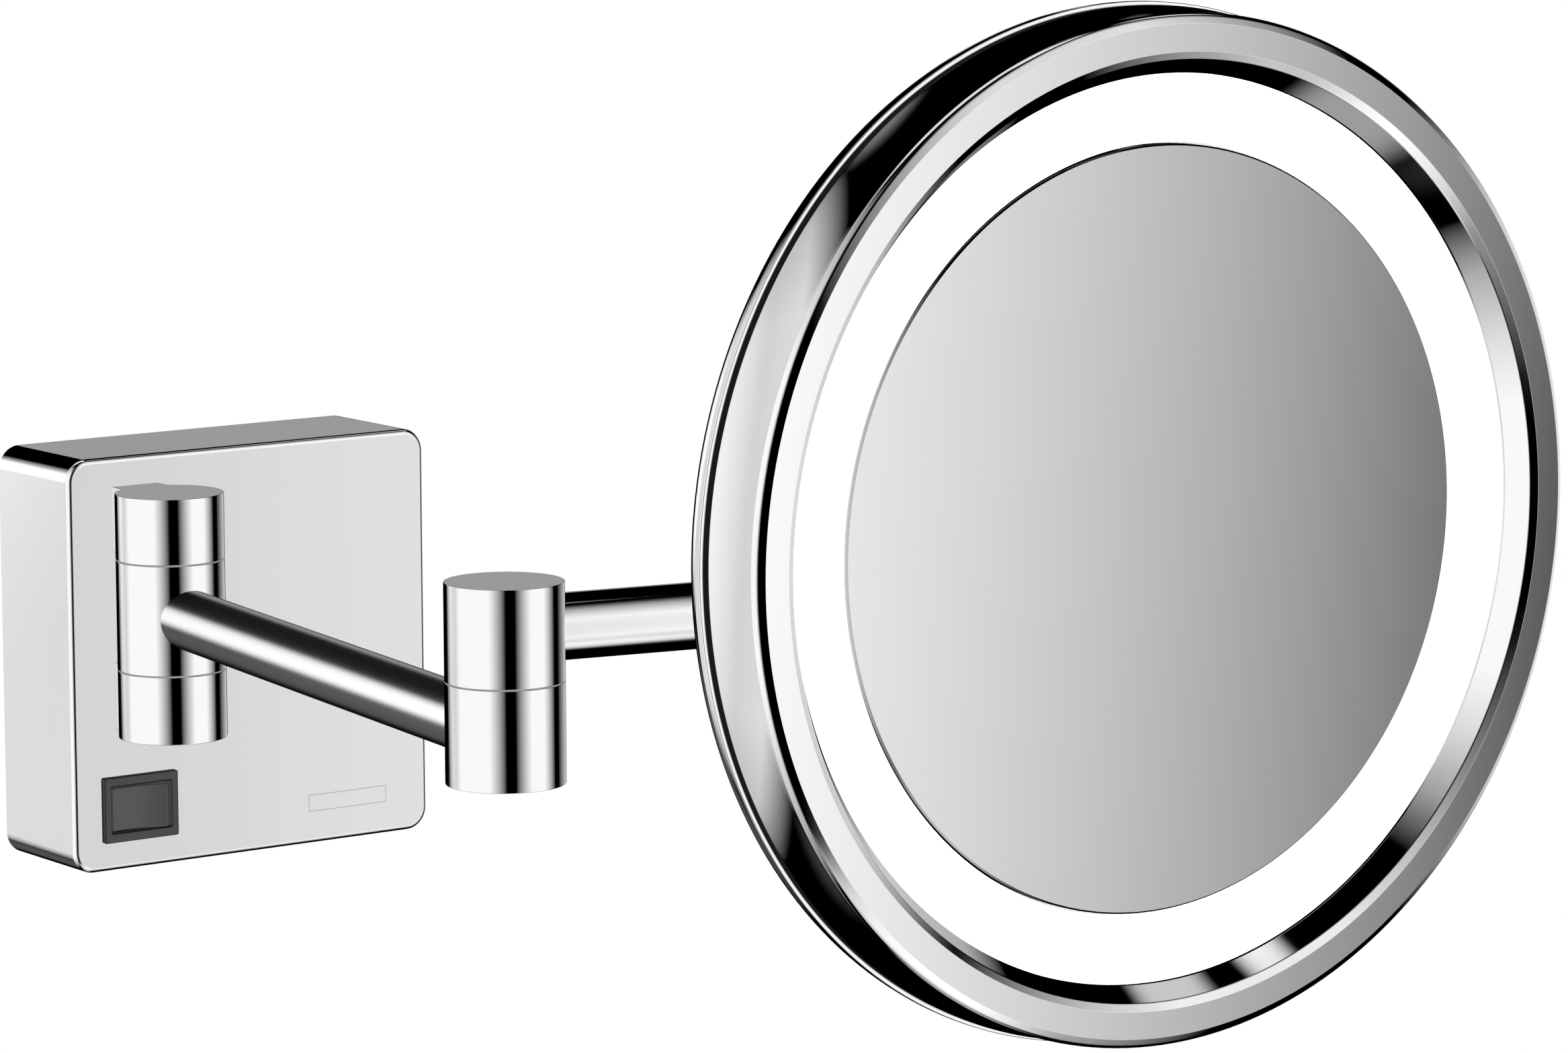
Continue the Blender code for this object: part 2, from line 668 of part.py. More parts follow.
def rear_shell():
    edge = SHELL_R - 0.0004
    profile = [
        (0.0030, SHELL_BACK),
        (0.0600, SHELL_BACK + 0.0004),
        (0.0930, SHELL_BACK + 0.0022),
        (0.1050, SHELL_BACK + 0.0046),
        (0.1095, SHELL_BACK + 0.0064),
        (edge, SHELL_BACK + 0.0084),
        (SHELL_R, SHELL_FRONT - 0.0022),
        (edge, SHELL_FRONT - 0.0003),
        (edge - 0.0003, SHELL_FRONT),
        (SPIGOT_R, SHELL_FRONT),
        (SPIGOT_R, -0.0040),
        (SPIGOT_R - 0.0016, -0.0040),
        (SPIGOT_R - 0.0016, SHELL_FRONT - 0.0030),
        (0.0920, SHELL_BACK + 0.0040),
        (0.0600, SHELL_BACK + 0.0022),
        (0.0030, SHELL_BACK + 0.0018),
    ]
    obj = head_lathe("rear_shell", profile, chrome("rear_shell"))
    for place in foot_screw_places():
        drill(obj, 0.0016, place, FRONT_DIR, -0.001, 0.003, "head_tilt", 12)
    return obj


def front_bezel():
    """The bright rim: flared outer wall, rounded nose, flat front and a cone down to the light ring."""
    nose = 0.0024
    wall = 0.0015
    flare = [(0.0004, 0.6), (BEZEL_BACK_R - BEZEL_R, 1.0)]
    side = [(BEZEL_R + out, FRONT - nose + (BEZEL_BACK - FRONT + nose) * t) for out, t in flare]
    profile = [(LIGHT_R, 0.0), (0.1011, FRONT - 0.0006), (0.1018, FRONT)]
    profile += arc(BEZEL_R - nose, FRONT - nose, nose, 90, 0, 4)
    profile += side
    profile += [
        (BEZEL_BACK_R - wall, BEZEL_BACK),
        (BEZEL_R - wall, FRONT - nose - 0.0070),
        (BEZEL_R - wall, FRONT - nose - 0.0004),
        (BEZEL_R - nose - 0.0006, FRONT - 0.0018),
        (0.1030, FRONT - 0.0018),
        (LIGHT_R + 0.0014, -0.0014),
        (LIGHT_R, -0.0014),
    ]
    head_lathe("front_bezel", profile, chrome("front_bezel"))


def light_diffuser():
    """A milky ring that slopes from the glass up to the bezel's lip."""
    inner = GLASS_R + 0.0005
    profile = [
        (inner, GLASS_EDGE),
        (LIGHT_R - GAP, -0.0003),
        (LIGHT_R - GAP, -0.0018),
        (0.1005, -0.0018),
        (0.1005, -0.0038),
        (inner, -0.0040),
    ]
    head_lathe("light_diffuser", profile, plastic("light_diffuser", 0.95, 0.5))


def mirror_glass():
    back = GLASS_EDGE - GLASS_T
    rim = GLASS_R - 0.0004
    side = [(GLASS_R, back), (GLASS_R, GLASS_EDGE - 0.0004), (rim, GLASS_EDGE)]
    profile = [(0, back)] + side + [(0, GLASS_EDGE)]
    head_lathe("mirror_glass", profile, material("mirror_glass", (0.80, 0.81, 0.82), 0.02, 1.0))


def glass_pad():
    """Foam tape disc between the glass and its carrier."""
    low = CARRIER_FLOOR + GAP
    high = GLASS_EDGE - GLASS_T - GAP
    profile = [(0, low), (0.0670, low), (0.0670, high), (0, high)]
    head_lathe("glass_pad", profile, plastic("glass_pad", 0.03, 0.9), INSIDE_SEGMENTS)


def mirror_carrier():
    """The moulded tray that holds the glass, the light board and the diffuser."""
    inner_wall = (0.0690, 0.0710)
    glass_seat = GLASS_EDGE - GLASS_T - 2 * GAP
    outer = 0.1040
    profile = [
        (0.0120, CARRIER_FLOOR - 0.0015),
        (outer, CARRIER_FLOOR - 0.0015),
        (outer, -0.0043),
        (0.0985, -0.0043),
        (0.0985, CARRIER_FLOOR),
        (inner_wall[1], CARRIER_FLOOR),
        (inner_wall[1], glass_seat),
        (inner_wall[0], glass_seat),
        (inner_wall[0], CARRIER_FLOOR),
        (0.0120, CARRIER_FLOOR),
    ]
    head_lathe("mirror_carrier", profile, plastic("mirror_carrier", 0.85), INSIDE_SEGMENTS)


def led_board():
    """A ring-shaped circuit board with its chips."""
    low = CARRIER_FLOOR + GAP
    high = low + 0.0012
    profile = [(0.0740, low), (0.0970, low), (0.0970, high), (0.0740, high)]
    obj = head_lathe("led_board", profile, plastic("led_board", 0.8), INSIDE_SEGMENTS)
    verts = []
    faces = []
    cube = [(0, 1, 2, 3), (4, 5, 6, 7), (0, 1, 5, 4), (1, 2, 6, 5), (2, 3, 7, 6), (3, 0, 4, 7)]
    for k in range(LED_COUNT):
        turn = Matrix.Rotation(2 * math.pi * (k + 0.5) / LED_COUNT, 3, "Z")
        base = len(verts)
        for z in (high - 0.0003, high + 0.0009):
            for x, y in box_outline(0.0030, 0.0035):
                verts.append(tuple(turn @ Vector((x + 0.0880, y, z))))
        faces += [tuple(base + i for i in face) for face in cube]
    chips = make_piece("tool_led_chips", verts, faces, None, HEAD_CENTRE, "head_tilt", FRONT_DIR, False)
    combine(obj, chips, "UNION")


def seal_ring():
    """A rubber seal in the gap between the spigot and the bezel."""
    inner = SPIGOT_R + 0.0003
    outer = BEZEL_R - 0.0018
    profile = [(inner, -0.0082), (outer, -0.0082), (outer, -0.0064), (inner, -0.0064)]
    head_lathe("seal_ring", profile, plastic("seal_ring", 0.02, 0.8), HEAD_SEGMENTS)


def head_lead():
    place = HEAD_CENTRE + FRONT_DIR * (CARRIER_FLOOR - 0.0045)
    mat = plastic("head_lead", 0.8)
    prism("head_lead", circle(LEAD_R, 12), 0.0080, 0.0850, mat, place, "head_tilt", UP)


def build():
    clear_scene()
    add_frame("wall_mount", Vector())
    add_frame("rocker", SWITCH_PIVOT, "wall_mount")
    add_frame("wall_swivel", WALL_AXIS, "wall_mount")
    add_frame("elbow_swivel", ELBOW_AXIS, "wall_swivel")
    add_frame("head_swivel", NECK_AXIS, "elbow_swivel")
    add_frame("head_tilt", TILT_AXIS, "head_swivel")

    wall_bracket()
    plate_cover()
    cover_grub_screw()
    link_screws()
    wall_hinge()
    switch_body()
    switch_rocker()
    switch_terminals()
    led_driver()
    terminal_block()
    inner_arm()
    outer_arm()
    neck()
    tilt_knuckle()
    foot_screws()
    rear_shell()
    front_bezel()
    light_diffuser()
    mirror_glass()
    glass_pad()
    mirror_carrier()
    led_board()
    seal_ring()
    head_lead()


build()
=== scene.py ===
import json
import math

import bmesh
import bpy
from mathutils import Matrix, Vector

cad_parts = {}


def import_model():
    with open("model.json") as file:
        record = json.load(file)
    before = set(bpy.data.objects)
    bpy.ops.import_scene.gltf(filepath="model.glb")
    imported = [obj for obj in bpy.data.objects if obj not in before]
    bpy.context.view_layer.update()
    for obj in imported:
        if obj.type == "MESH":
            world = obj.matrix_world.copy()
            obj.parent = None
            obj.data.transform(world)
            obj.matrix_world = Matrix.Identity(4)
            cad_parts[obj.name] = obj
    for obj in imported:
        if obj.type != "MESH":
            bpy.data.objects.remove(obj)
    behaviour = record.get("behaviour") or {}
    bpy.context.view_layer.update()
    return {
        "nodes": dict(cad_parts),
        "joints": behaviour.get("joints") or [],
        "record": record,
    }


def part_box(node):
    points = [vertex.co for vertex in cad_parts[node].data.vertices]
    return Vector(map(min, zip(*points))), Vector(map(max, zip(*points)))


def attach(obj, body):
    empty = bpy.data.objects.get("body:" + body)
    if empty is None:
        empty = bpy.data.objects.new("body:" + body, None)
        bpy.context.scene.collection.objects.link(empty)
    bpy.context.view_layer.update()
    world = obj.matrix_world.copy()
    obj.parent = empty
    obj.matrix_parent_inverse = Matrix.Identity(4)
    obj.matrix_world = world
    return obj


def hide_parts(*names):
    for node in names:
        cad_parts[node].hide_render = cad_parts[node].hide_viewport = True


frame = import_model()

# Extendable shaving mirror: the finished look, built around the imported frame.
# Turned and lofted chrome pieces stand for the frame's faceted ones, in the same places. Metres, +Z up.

UP = Vector((0, 0, 1))
FORWARD = Vector((0, -1, 0))

# Looks
CHROME_SHADE = 0.95
STEEL_SHADE = 0.58
STEEL_ROUGH = 0.28
MOULD_VARY = 0.06
# Painted shade of the forward faces, a grey in place of their reflection: level at the origin, and change per
# metre along X and Z
BEZEL_PAINTED_SHADE = (0.53, -3.9, 0.47)
GLASS_PAINTED_SHADE = (0.493, -3.67, 0.25)
PLATE_PAINTED_SHADE = (0.70, 0.95, 0.0)
# Darkest and palest grey of the painted shade
PAINTED_SHADE_DARKEST = 0.04
PAINTED_SHADE_PALEST = 0.97
PAINTED_GLINT_NORMAL = (0.485, -0.875, 0.0)  # normal of the bezel's chamfers that get a painted glint
PAINTED_GLINT_STRENGTH = 0.6
GAP_FADE = 0.0003  # soft edge of the shadow behind the bezel

# Finish of the shapes
RING_SEGMENTS = 224
BARREL_SEGMENTS = 112
TUBE_SEGMENTS = 72
EDGE = 0.00012  # break on a turned chrome edge

# Head. Positions along its axis are counted forward from the lip of the light ring.
LIGHT_R = 0.0976
LIP_WALL = 0.0014  # thickness of the bezel's edge at the lip
NOSE_DEPTH = 0.0055
NOSE_CHAMFER = (0.0022, 0.00117)  # across the face, and back from it
NOSE_R = 0.0019  # between that chamfer and the side
FACE_INNER = 0.1024
LIP_CHAMFER = (0.0017, 0.00094)
LIP_R = 0.0010
SHARP = 0.00015
FLARE_START = 0.0024  # behind the face
FLARE_STEPS = 12
FLARE_OUT = 0.0009  # how much wider the bezel is at the back
BEZEL_WALL = 0.0015
BEZEL_SKIN = 0.0018  # thickness of its face
BEZEL_STRAIGHT = 0.0094  # behind the face, where its inside starts to widen
BEZEL_HAUNCH = (0.0019, 0.0010)
CONE_WALL = 0.0008
SHELL_FRONT = -0.0125
SHELL_SPIGOT = (0.1072, -0.0040)  # radius and front of the step that goes inside the bezel
SHELL_WALL = 0.0016
SHELL_STRAIGHT = 0.0030  # how far the spigot's bore goes on behind the shell's front
SHELL_HOLE = 0.0030
# Back of the shell: radius and height over its rearmost plane. At the rim, distance inside it and height.
DOME = [(SHELL_HOLE, 0.0), (0.0600, 0.0004), (0.0930, 0.0022), (0.1050, 0.0043)]
DOME_RIM = [(0.0030, 0.0058), (0.0012, 0.0074), (0.0003, 0.0090), (0.0, 0.0104)]
DOME_INSIDE = [(0.0920, 0.0040), (0.0600, 0.0022), (SHELL_HOLE, 0.0018)]
DIFFUSER_FLANGE = (0.1005, -0.0018, -0.0038)  # radius, front and back
DIFFUSER_BACK = -0.0040
DIFFUSER_GAP = (0.0005, 0.0002)  # round the glass, and inside the bezel
DIFFUSER_DIP = 0.0003  # of its outer edge behind the lip
DIFFUSER_EDGE = 0.0002
GLASS_DEPTH = 0.0020  # the glass behind the lip
GLASS_BREAK = 0.0004

# Plate
PLATE_CORNER = 0.0055
PLATE_FILLET = 0.0014
PLATE_WALL = 0.0020
PLATE_BREAK = 0.0001
LABEL_CENTRE = (0.0267, -0.0400)
LABEL_HALF = (0.0111, 0.0020)
LABEL_LINE = 0.00010

# Hinges and arms
BORE_R = 0.0042
ROOF = 0.0030  # of the barrels that are closed at the top
LINK_HALF = 0.00635  # half the width of a lug's flat link
TUBE_WALL = 0.0012
TUBE_INSET = 0.0085  # from a barrel's axis to the tube's end inside it

# Switch
SWITCH_WINDOW = (0.0194, 0.0136)
SWITCH_CORNERS = (0.0005, 0.0004, 0.0003)  # of the flange, the body and the pocket
SWITCH_EDGE = 0.0003
SWITCH_BODY_INSET = (0.0017, 0.0031)  # how much narrower and lower the body is than its flange
SWITCH_POCKET_INSET = (0.0038, 0.0046)
SWITCH_POCKET_LIP = 0.0004  # how much wider the pocket is at its mouth
SWITCH_POCKET_DEPTH = 0.0090  # behind the plate's face
PADDLE_HALF = (0.0073, 0.00525)
PADDLE_CROWN = 0.0061  # from the pivot to the paddle's front
PADDLE_DISH = 0.0009
PADDLE_SIDE = 0.0022  # from the pivot to the back of the sides
PADDLE_KEEL = (0.0022, 0.0016)  # half width, and reach behind the pivot
PADDLE_TILT = math.radians(7)

# Camera
CAMERA_AZIMUTH = math.radians(35.996)
CAMERA_ELEVATION = math.radians(8.493)
CAMERA_ROLL = math.radians(0.196)
CAMERA_AIM = Vector((0.07867, -0.14456, 0.03607))
CAMERA_DISTANCE = 1.5
CAMERA_LENS = 146.75
FLOOR_Z = -0.26
FLOOR_HALF = 30.0
FLOOR_GLOW = 0.92

# Soft boxes of the studio. Brightness round the horizon by bearing in degrees, from straight in front of
# the plate towards +X, then the fall-off with height.
STUDIO_ROUND = [
    (-180, 0.0), (-164, 0.0), (-152, 0.76), (-141, 0.68), (-128, 1.0), (-64, 1.0),
    (-32, 0.0), (-13, 0.0), (18, 1.0), (46, 1.0), (74, 0.0), (180, 0.0),
]
STUDIO_HEIGHT = [(0, 1.0), (27, 1.0), (39, 0.78), (54, 0.44), (66, 0.0), (90, 0.0)]
STRIP_ROUND = [(-180, 0.0), (88, 0.0), (127, 0.61), (138, 0.0), (180, 0.0)]  # a low strip light, back right
STRIP_HEIGHT = [(0, 1.0), (12, 1.0), (19, 0.0), (90, 0.0)]
# Round soft boxes: direction, inner and outer half angle, brightness
ROUND_BOXES = [
    (Vector((0.27, 0.02, 0.963)), 5, 9, 1.0),
    (Vector((0.60, 0.10, 0.79)), 4, 10, 0.6),
    (Vector((0.0, 0.37, 0.93)), 10, 24, 0.8),
    (Vector((0.0, -0.47, -0.88)), 12, 26, 0.7),
    (Vector((-0.03, 0.90, -0.44)), 6, 16, 0.08),
    (Vector((0.10, 0.11, -0.99)), 6, 16, 0.35),
    (Vector((-0.301, 0.951, 0.070)), 6, 18, 0.95),
    (Vector((0.515, 0.841, 0.165)), 5, 7.5, 0.33),
]


# Node helpers

def add(tree, kind, inputs=None, **settings):
    """Adds a node, sets its properties, and links or sets its inputs."""
    node = tree.nodes.new(kind)
    for key, value in settings.items():
        setattr(node, key, value)
    for key, value in (inputs or {}).items():
        if isinstance(value, bpy.types.NodeSocket):
            tree.links.new(value, node.inputs[key])
        else:
            node.inputs[key].default_value = value
    return node


def calc(tree, operation, *values):
    return add(tree, "ShaderNodeMath", dict(enumerate(values)), operation=operation).outputs[0]


def dot(tree, vector, direction):
    node = add(tree, "ShaderNodeVectorMath", {0: vector, 1: direction}, operation="DOT_PRODUCT")
    return node.outputs["Value"]


def spread(tree, value, from_low, from_high, to_low, to_high, smooth=False):
    kind = "SMOOTHSTEP" if smooth else "LINEAR"
    limits = {"From Min": from_low, "From Max": from_high, "To Min": to_low, "To Max": to_high}
    node = add(tree, "ShaderNodeMapRange", {"Value": value, **limits}, interpolation_type=kind)
    return node.outputs["Result"]


def ramp(tree, factor, stops):
    """A ramp of (position 0 to 1, grey or colour) stops."""
    node = add(tree, "ShaderNodeValToRGB", {"Fac": factor})
    elements = node.color_ramp.elements
    while len(elements) > 1:
        elements.remove(elements[-1])
    for k, (position, colour) in enumerate(stops):
        element = elements[0] if k == 0 else elements.new(position)
        element.position = position
        if isinstance(colour, (int, float)):
            colour = (colour, colour, colour)
        element.color = (*colour, 1)
    return node.outputs["Color"]


def noise(tree, scale, detail, stretch=(1, 1, 1)):
    place = add(tree, "ShaderNodeTexCoord").outputs["Object"]
    mapping = add(tree, "ShaderNodeMapping", {"Vector": place, "Scale": stretch})
    inputs = {"Vector": mapping.outputs["Vector"], "Scale": scale, "Detail": detail}
    return add(tree, "ShaderNodeTexNoise", inputs).outputs["Fac"]


# Materials

def new_material(name, **constants):
    mat = bpy.data.materials.new(name)
    mat.use_nodes = True
    shader = mat.node_tree.nodes["Principled BSDF"]
    for key, value in constants.items():
        shader.inputs[key.replace("_", " ")].default_value = value
    return mat, mat.node_tree, shader


def front_mask(tree):
    """1 on faces that look straight forward, in the piece's own space."""
    normal = add(tree, "ShaderNodeTexCoord").outputs["Normal"]
    return spread(tree, dot(tree, normal, FORWARD), 0.985, 0.999, 0.0, 1.0)


def painted_shade_slope(tree, origin, level, across, up):
    """A painted shade that runs evenly across a face: level at the origin, then change per metre along X and
    Z.
    """
    place = add(tree, "ShaderNodeTexCoord").outputs["Object"]
    level = level - origin.x * across - origin.z * up
    value = calc(tree, "ADD", dot(tree, place, (across, 0, up)), level)
    return calc(tree, "MINIMUM", calc(tree, "MAXIMUM", value, PAINTED_SHADE_DARKEST), PAINTED_SHADE_PALEST)


def mixed(tree, factor, a, b):
    node = add(tree, "ShaderNodeMix", data_type="RGBA")
    sockets = [s for s in node.inputs if s.enabled]
    for socket, value in zip(sockets, (factor, a, b)):
        if isinstance(value, bpy.types.NodeSocket):
            tree.links.new(value, socket)
        else:
            socket.default_value = value
    return next(s for s in node.outputs if s.enabled)


def grey(tree, value):
    return add(tree, "ShaderNodeCombineColor", {"Red": value, "Green": value, "Blue": value}).outputs["Color"]


def chrome(name, rough=0.035, vary=0.2, face=None):
    """Polished chrome. Its colour and polish vary slightly, and face, when given, paints shade into the
    colour of the forward faces.
    """
    mat, tree, shader = new_material(name, Metallic=1.0)
    haze = noise(tree, 55.0, 4.0)
    shade = CHROME_SHADE
    warm = (shade, shade, shade * 1.004)
    cool = (shade * 0.985, shade * 0.99, shade)
    colour = ramp(tree, haze, [(0.35, cool), (0.65, warm)])
    # Painted shade: the face's grey replaces the colour of the forward faces
    if face:
        colour = mixed(tree, front_mask(tree), colour, face(tree))
    tree.links.new(colour, shader.inputs["Base Color"])
    wipe = noise(tree, 420.0, 2.0, (1, 1, 0.15))
    polish = spread(tree, wipe, 0.3, 0.7, rough * (1 - vary), rough * (1 + vary))
    tree.links.new(polish, shader.inputs["Roughness"])
    return mat


def steel(name):
    """Machined steel with fine turning lines."""
    mat, tree, shader = new_material(name, Metallic=1.0)
    lines = noise(tree, 900.0, 2.0, (1, 1, 6))
    shade, rough = STEEL_SHADE, STEEL_ROUGH
    stops = [(0.3, (shade * 0.88, shade * 0.88, shade * 0.9)), (0.7, (shade * 1.1, shade * 1.1, shade * 1.1))]
    tree.links.new(ramp(tree, lines, stops), shader.inputs["Base Color"])
    tree.links.new(spread(tree, lines, 0.3, 0.7, rough * 0.8, rough * 1.3), shader.inputs["Roughness"])
    return mat


def moulded(name, colour, rough, grain=0.00001, grain_scale=2500.0, side=None):
    """Moulded plastic or rubber: slight colour drift and a fine grain. Side, when given, is a painted shade:
    the grey painted on the flanks, darker than the front.
    """
    mat, tree, shader = new_material(name)
    drift = noise(tree, 90.0, 4.0)
    low = tuple(c * (1 - MOULD_VARY) for c in colour)
    high = tuple(min(1.0, c * (1 + MOULD_VARY)) for c in colour)
    tone = ramp(tree, drift, [(0.3, low), (0.7, high)])
    # Painted shade: the flanks get the darker side grey
    if side is not None:
        tone = mixed(tree, front_mask(tree), (side, side, side, 1), tone)
    tree.links.new(tone, shader.inputs["Base Color"])
    texture = noise(tree, grain_scale, 2.0)
    tree.links.new(spread(tree, texture, 0.25, 0.75, rough * 0.88, rough * 1.12), shader.inputs["Roughness"])
    bump = add(tree, "ShaderNodeBump", {"Height": texture, "Distance": grain, "Strength": 0.5})
    tree.links.new(bump.outputs["Normal"], shader.inputs["Normal"])
    return mat


def silvered_glass_painted_shade(origin):
    """The mirror glass, with a painted shade in its colour that darkens evenly to the right in place of its
    reflection.
    """
    mat, tree, shader = new_material("mirror_glass_silver", Metallic=1.0)
    # Painted shade: the glass's colour darkens to the right
    value = painted_shade_slope(tree, origin, *GLASS_PAINTED_SHADE)
    film = spread(tree, noise(tree, 30.0, 3.0), 0.3, 0.7, 0.992, 1.004)
    value = calc(tree, "MULTIPLY", value, film)
    tree.links.new(grey(tree, value), shader.inputs["Base Color"])
    smudge = noise(tree, 24.0, 5.0)
    tree.links.new(spread(tree, smudge, 0.3, 0.7, 0.006, 0.016), shader.inputs["Roughness"])
    return mat


def lit_acrylic():
    """The milky light ring, evenly lit from behind."""
    mat, tree, shader = new_material("lit_acrylic", Roughness=0.35)
    cloud = noise(tree, 45.0, 3.0)
    tree.links.new(ramp(tree, cloud, [(0.3, 0.92), (0.7, 0.97)]), shader.inputs["Base Color"])
    shader.inputs["Emission Color"].default_value = (1.0, 0.995, 0.985, 1)
    tree.links.new(spread(tree, cloud, 0.2, 0.8, 1.25, 1.4), shader.inputs["Emission Strength"])
    return mat


def bezel_painted_shade(origin):
    """Painted shade: a forward face whose grey, in place of its reflection, darkens evenly to the right."""
    def paint(tree):
        return grey(tree, painted_shade_slope(tree, origin, *BEZEL_PAINTED_SHADE))
    return paint


def bezel_painted_glint(mat):
    """A painted glint: the chamfers that face right glow white, in place of a reflection of a pale wall
    beside the mirror.
    """
    tree = mat.node_tree
    shader = tree.nodes["Principled BSDF"]
    normal = add(tree, "ShaderNodeTexCoord").outputs["Normal"]
    turn = spread(tree, dot(tree, normal, PAINTED_GLINT_NORMAL), 0.9, 0.97, 0.0, PAINTED_GLINT_STRENGTH, smooth=True)
    clear = spread(tree, dot(tree, normal, FORWARD), 0.93, 0.97, 1.0, 0.0)
    # The painted glint is emission on those chamfers
    shader.inputs["Emission Color"].default_value = (1, 1, 1, 1)
    tree.links.new(calc(tree, "MULTIPLY", turn, clear), shader.inputs["Emission Strength"])
    return mat


def gap_shade(origin, radius):
    """Darkens forward faces that lie behind the bezel."""
    def paint(tree):
        place = add(tree, "ShaderNodeTexCoord").outputs["Object"]
        away = add(tree, "ShaderNodeVectorMath", {0: place, 1: origin}, operation="SUBTRACT").outputs[0]
        flat = add(tree, "ShaderNodeVectorMath", {0: away, 1: (1, 0, 1)}, operation="MULTIPLY").outputs[0]
        reach = add(tree, "ShaderNodeVectorMath", {0: flat}, operation="LENGTH").outputs["Value"]
        return grey(tree, spread(tree, reach, radius - GAP_FADE, radius, 0.01, 0.93))
    return paint


def plate_brush_label_and_painted_shade(tree):
    """Fine upright brush lines, a thin blank label frame, and a painted shade that gets lighter to the right
    in place of the face's reflection.
    """
    brush = noise(tree, 70.0, 4.0, (1, 1, 0.02))
    # Painted shade, lighter to the right
    value = painted_shade_slope(tree, Vector((0, 0, 0)), *PLATE_PAINTED_SHADE)
    value = calc(tree, "MULTIPLY", value, spread(tree, brush, 0.3, 0.7, 0.985, 1.015))
    place = add(tree, "ShaderNodeTexCoord").outputs["Object"]
    parts = add(tree, "ShaderNodeSeparateXYZ", {"Vector": place})
    reach = []
    for k, axis in enumerate("XZ"):
        offset = calc(tree, "SUBTRACT", parts.outputs[axis], LABEL_CENTRE[k])
        reach.append(calc(tree, "SUBTRACT", calc(tree, "ABSOLUTE", offset), LABEL_HALF[k]))
    away = calc(tree, "ABSOLUTE", calc(tree, "MAXIMUM", reach[0], reach[1]))
    ink = spread(tree, away, LABEL_LINE * 0.5, LABEL_LINE * 1.3, 0.55, 1.0)
    value = calc(tree, "MULTIPLY", value, ink)
    return grey(tree, value)


# Mesh helpers

def joint_place(name):
    return next(Vector(j["pos_m"]) for j in frame["joints"] if j["name"] == name)


def soften(points, radius=EDGE, steps=5, closed=True):
    """Rounds the corners of a profile. A point may carry its own radius as a third value."""
    result = []
    count = len(points)
    for k, point in enumerate(points):
        here = Vector(point[:2])
        size = point[2] if len(point) > 2 else radius
        if size == 0 or (not closed and k in (0, count - 1)):
            result.append(here)
            continue
        back = Vector(points[k - 1][:2]) - here
        ahead = Vector(points[(k + 1) % count][:2]) - here
        turn = back.angle(ahead)
        if turn > math.radians(172):
            result.append(here)
            continue
        reach = min(size / math.tan(turn / 2), back.length * 0.45, ahead.length * 0.45)
        size = reach * math.tan(turn / 2)
        u, v = back.normalized(), ahead.normalized()
        centre = here + (u + v).normalized() * size / math.sin(turn / 2)
        start, end = here + u * reach - centre, here + v * reach - centre
        sweep = start.angle(end)
        for i in range(steps + 1):
            t = i / steps
            spoke = (start * math.sin((1 - t) * sweep) + end * math.sin(t * sweep)) / math.sin(sweep)
            result.append(centre + spoke)
    return [tuple(p) for p in result]


def smooth_run(points, steps=6):
    """A curve through the points of a profile."""
    before = 2 * Vector(points[0]) - Vector(points[1])
    after = 2 * Vector(points[-1]) - Vector(points[-2])
    run = [before, *(Vector(p) for p in points), after]
    result = []
    for a, b, c, d in zip(run, run[1:], run[2:], run[3:]):
        for i in range(steps):
            t = i / steps
            squared = (2 * a - 5 * b + 4 * c - d) * t * t
            cubed = (3 * b - a - 3 * c + d) * t ** 3
            result.append(tuple(0.5 * (2 * b + (c - a) * t + squared + cubed)))
    return result + [tuple(points[-1])]


def closed_object(name, verts, faces):
    """An object whose faces all look outwards."""
    mesh = bpy.data.meshes.new(name)
    mesh.from_pydata([tuple(v) for v in verts], [], faces)
    bm = bmesh.new()
    bm.from_mesh(mesh)
    bmesh.ops.recalc_face_normals(bm, faces=bm.faces)
    bm.to_mesh(mesh)
    bm.free()
    obj = bpy.data.objects.new(name, mesh)
    bpy.context.scene.collection.objects.link(obj)
    return obj


def side_faces(start, count):
    """Quads between one loop of points and the next."""
    for k in range(count):
        m = (k + 1) % count
        yield (start + k, start + m, start + count + m, start + count + k)


def make_piece(name, verts, faces, mat, body, nodes, bevel=0.0):
    """A finished piece that rides on a body and stands for the given nodes."""
    obj = closed_object(name, verts, faces)
    obj.data.shade_smooth()
    obj.data.materials.append(mat)
    if bevel:
        mod = obj.modifiers.new("edge_break", "BEVEL")
        mod.width = bevel
        mod.segments = 3
        mod.limit_method = "ANGLE"
        mod.angle_limit = math.radians(28)
    weighted = obj.modifiers.new("weighted_normals", "WEIGHTED_NORMAL")
    weighted.keep_sharp = True
    obj.visible_glossy = False
    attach(obj, body)
    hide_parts(*nodes)
    return obj


def turned(name, profile, segments, origin, axis, mat, body, nodes):
    """Turns a (radius, height) profile. One that starts on the axis is a solid, any other a ring."""
    place = Matrix.Translation(origin) @ UP.rotation_difference(axis).to_matrix().to_4x4()
    solid = profile[0][0] == 0
    rows = [p for p in profile if p[0] > 0]
    verts = []
    for r, h in rows:
        for k in range(segments):
            a = 2 * math.pi * k / segments
            verts.append(place @ Vector((r * math.cos(a), r * math.sin(a), h)))
    index = [range(i * segments, (i + 1) * segments) for i in range(len(rows))]
    faces = []
    pairs = list(zip(index, index[1:]))
    if solid:
        faces += [tuple(index[0]), tuple(index[-1])]
    else:
        pairs.append((index[-1], index[0]))
    for low, high in pairs:
        for k in range(segments):
            m = (k + 1) % segments
            faces.append((low[k], low[m], high[m], high[k]))
    return make_piece(name, verts, faces, mat, body, nodes)


